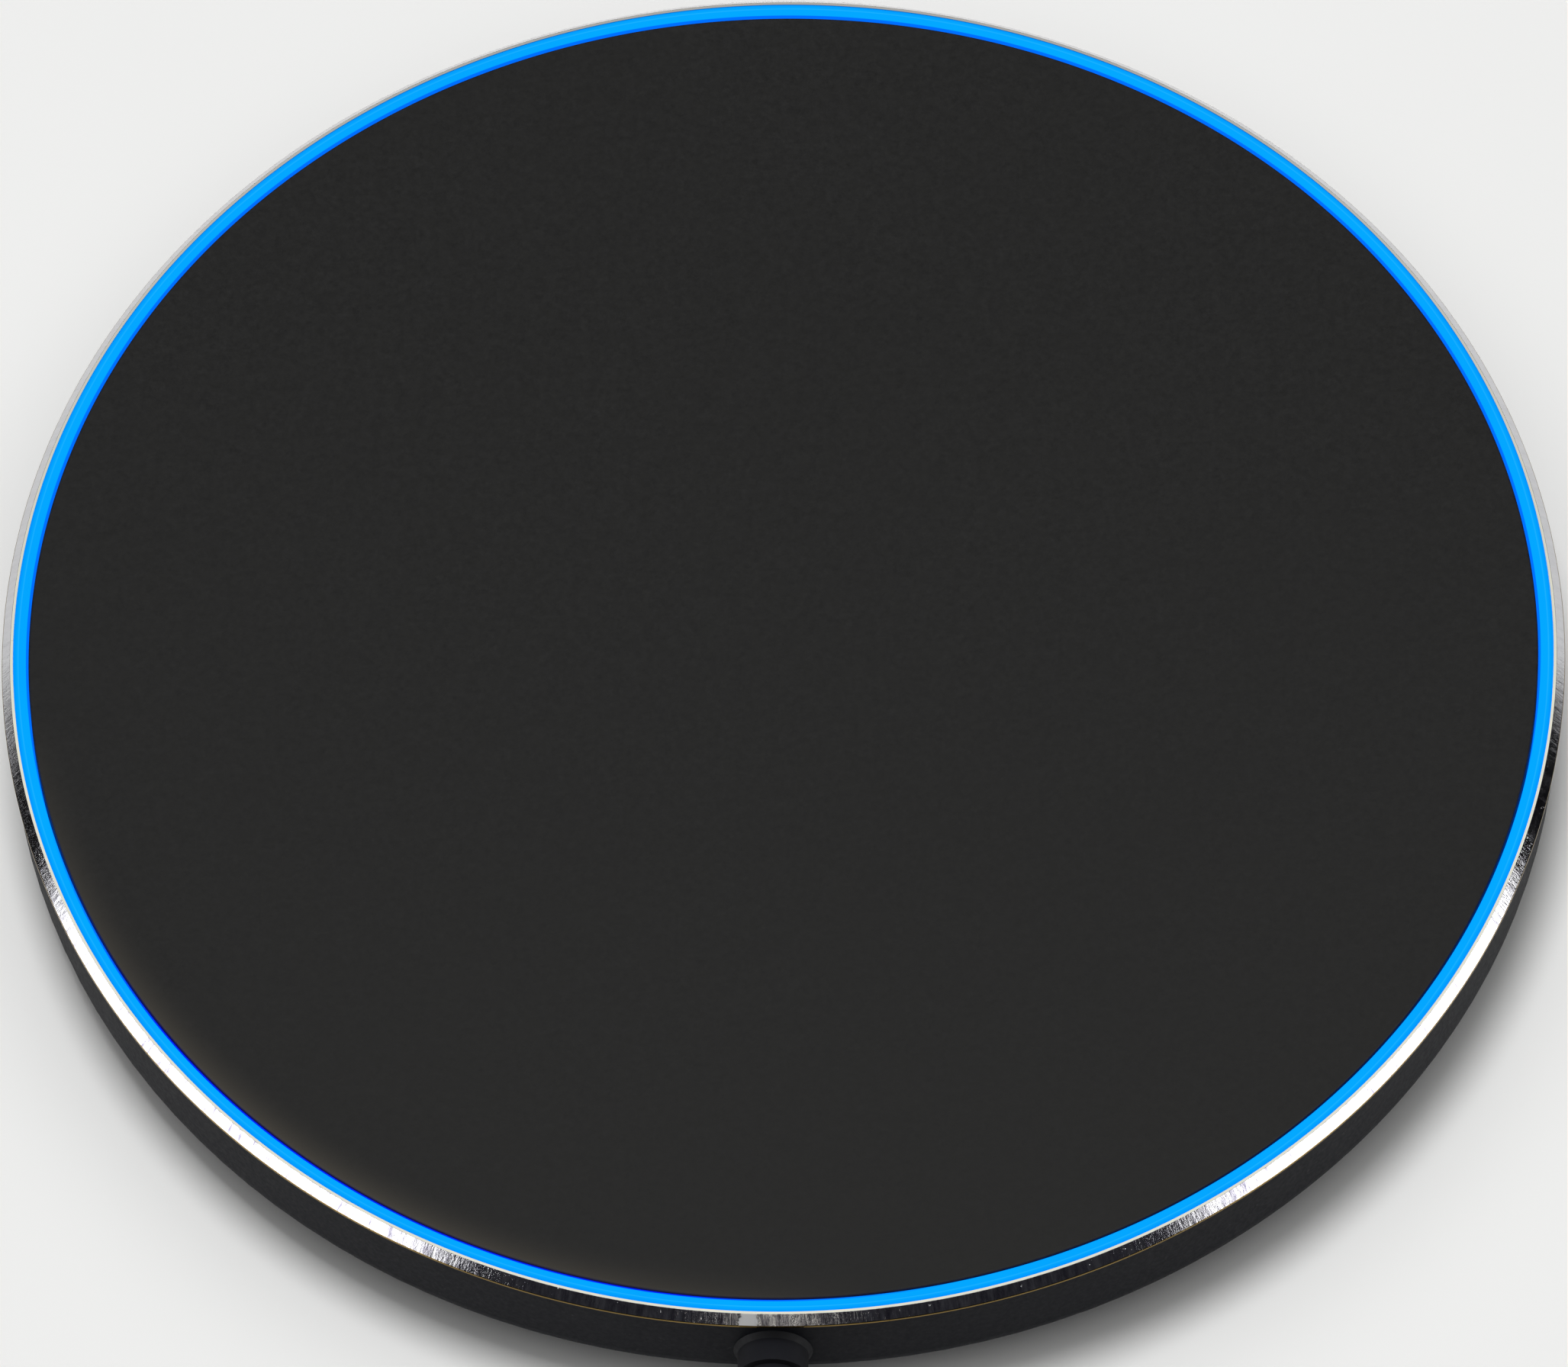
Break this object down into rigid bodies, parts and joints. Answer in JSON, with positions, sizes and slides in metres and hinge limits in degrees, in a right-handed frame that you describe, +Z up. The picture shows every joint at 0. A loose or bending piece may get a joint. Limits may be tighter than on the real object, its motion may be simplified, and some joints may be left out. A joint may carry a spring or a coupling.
{
  "type": "bluetooth audio receiver",
  "caption": "Thin round wireless audio receiver: black press-top puck with a lit blue ring, polished trim band, USB-C power socket and a captive lead to a 3.5 mm plug.",
  "frame": {"origin": "on the surface that the puck rests on, under the centre of the puck", "axes": "+Z up through the puck's axis, the audio lead leaves towards -Y, the power socket opens towards +Y"},
  "size_m": [0.0998, 0.153, 0.008],
  "materials": {
    "housing_black": "fine moulded satin",
    "foot_rubber": "soft matt",
    "trim_chrome": "polished plating on ABS",
    "light_blue": "translucent, lit blue",
    "disc_black": "soft-touch matt",
    "adhesive_film": "clear film",
    "carrier_white": "moulded ABS",
    "screw_steel": "zinc plated",
    "spring_steel": "drawn wire",
    "switch_black": "moulded nylon",
    "dome_steel": "thin stainless foil",
    "cover_steel": "pressed sheet",
    "plunger_ivory": "moulded nylon",
    "board_green": "solder mask",
    "lamp_yellow": "lit blue lens",
    "shield_tin": "tinned steel",
    "chip_black": "moulded epoxy",
    "antenna_white": "glazed dielectric",
    "crystal_metal": "plated lid",
    "inductor_grey": "sintered ferrite",
    "tantalum_orange": "moulded resin",
    "ceramic_tan": "fired ceramic",
    "resistor_black": "glazed film",
    "socket_steel": "drawn stainless",
    "socket_black": "moulded polymer",
    "contact_gold": "gold plating",
    "foam_grey": "foam tape",
    "pouch_silver": "laminated foil",
    "plug_white": "moulded nylon",
    "wire_red": "insulated wire",
    "lead_rubber": "matt jacket",
    "wire_mixed": "insulated wire and solder",
    "tie_black": "rubber strap",
    "grip_black": "moulded grip",
    "plug_gold": "gold plating",
    "band_black": "insulating ring"
  },
  "bodies": {
    "receiver": {"lower_housing": "housing_black", "foot_ring": "foot_rubber", "trim_band": "trim_chrome", "light_guide": "light_blue", "return_springs": "spring_steel", "switch_base": "switch_black", "switch_dome": "dome_steel", "switch_cover": "cover_steel", "circuit_board": "board_green", "board_screws": "screw_steel", "ring_lamps": "lamp_yellow", "radio_board": "board_green", "radio_shield": "shield_tin", "radio_chip": "chip_black", "chip_antenna": "antenna_white", "audio_codec": "chip_black", "power_chip": "chip_black", "crystal": "crystal_metal", "power_inductor": "inductor_grey", "output_capacitors": "tantalum_orange", "ceramic_capacitors": "ceramic_tan", "small_resistors": "resistor_black", "socket_shell": "socket_steel", "socket_insulator": "socket_black", "socket_contacts": "contact_gold", "battery_foam": "foam_grey", "battery_cell": "pouch_silver", "battery_plug": "plug_white", "battery_wires": "wire_red", "lead_boot": "lead_rubber", "lead_inner_end": "lead_rubber", "lead_wires": "wire_mixed", "lead_run": "lead_rubber", "lead_coil": "lead_rubber", "coil_tie": "tie_black", "lead_tail": "lead_rubber", "plug_relief": "grip_black", "plug_grip": "grip_black", "plug_collar": "plug_gold", "plug_sleeve": "plug_gold", "plug_bands": "band_black", "plug_ring": "plug_gold", "plug_tip": "plug_gold"},
    "button": {"button_disc": "disc_black", "disc_adhesive": "adhesive_film", "button_carrier": "carrier_white", "retaining_screws": "screw_steel"},
    "plunger": {"switch_plunger": "plunger_ivory"}
  },
  "joints": [
    {"name": "button_press", "type": "slide", "parent": "receiver", "child": "button", "axis": [0, 0, -1], "range_m": [0, 0.00025], "stiffness_N_per_m": 600, "springref_m": -0.002, "deforming": ["return_springs", "switch_dome"]},
    {"name": "plunger_press", "type": "slide", "parent": "receiver", "child": "plunger", "axis": [0, 0, -1], "range_m": [0, 0.00025]}
  ],
  "couplings": [
    {"joint": "plunger_press", "follows": "button_press", "ratio": 1}
  ]
}
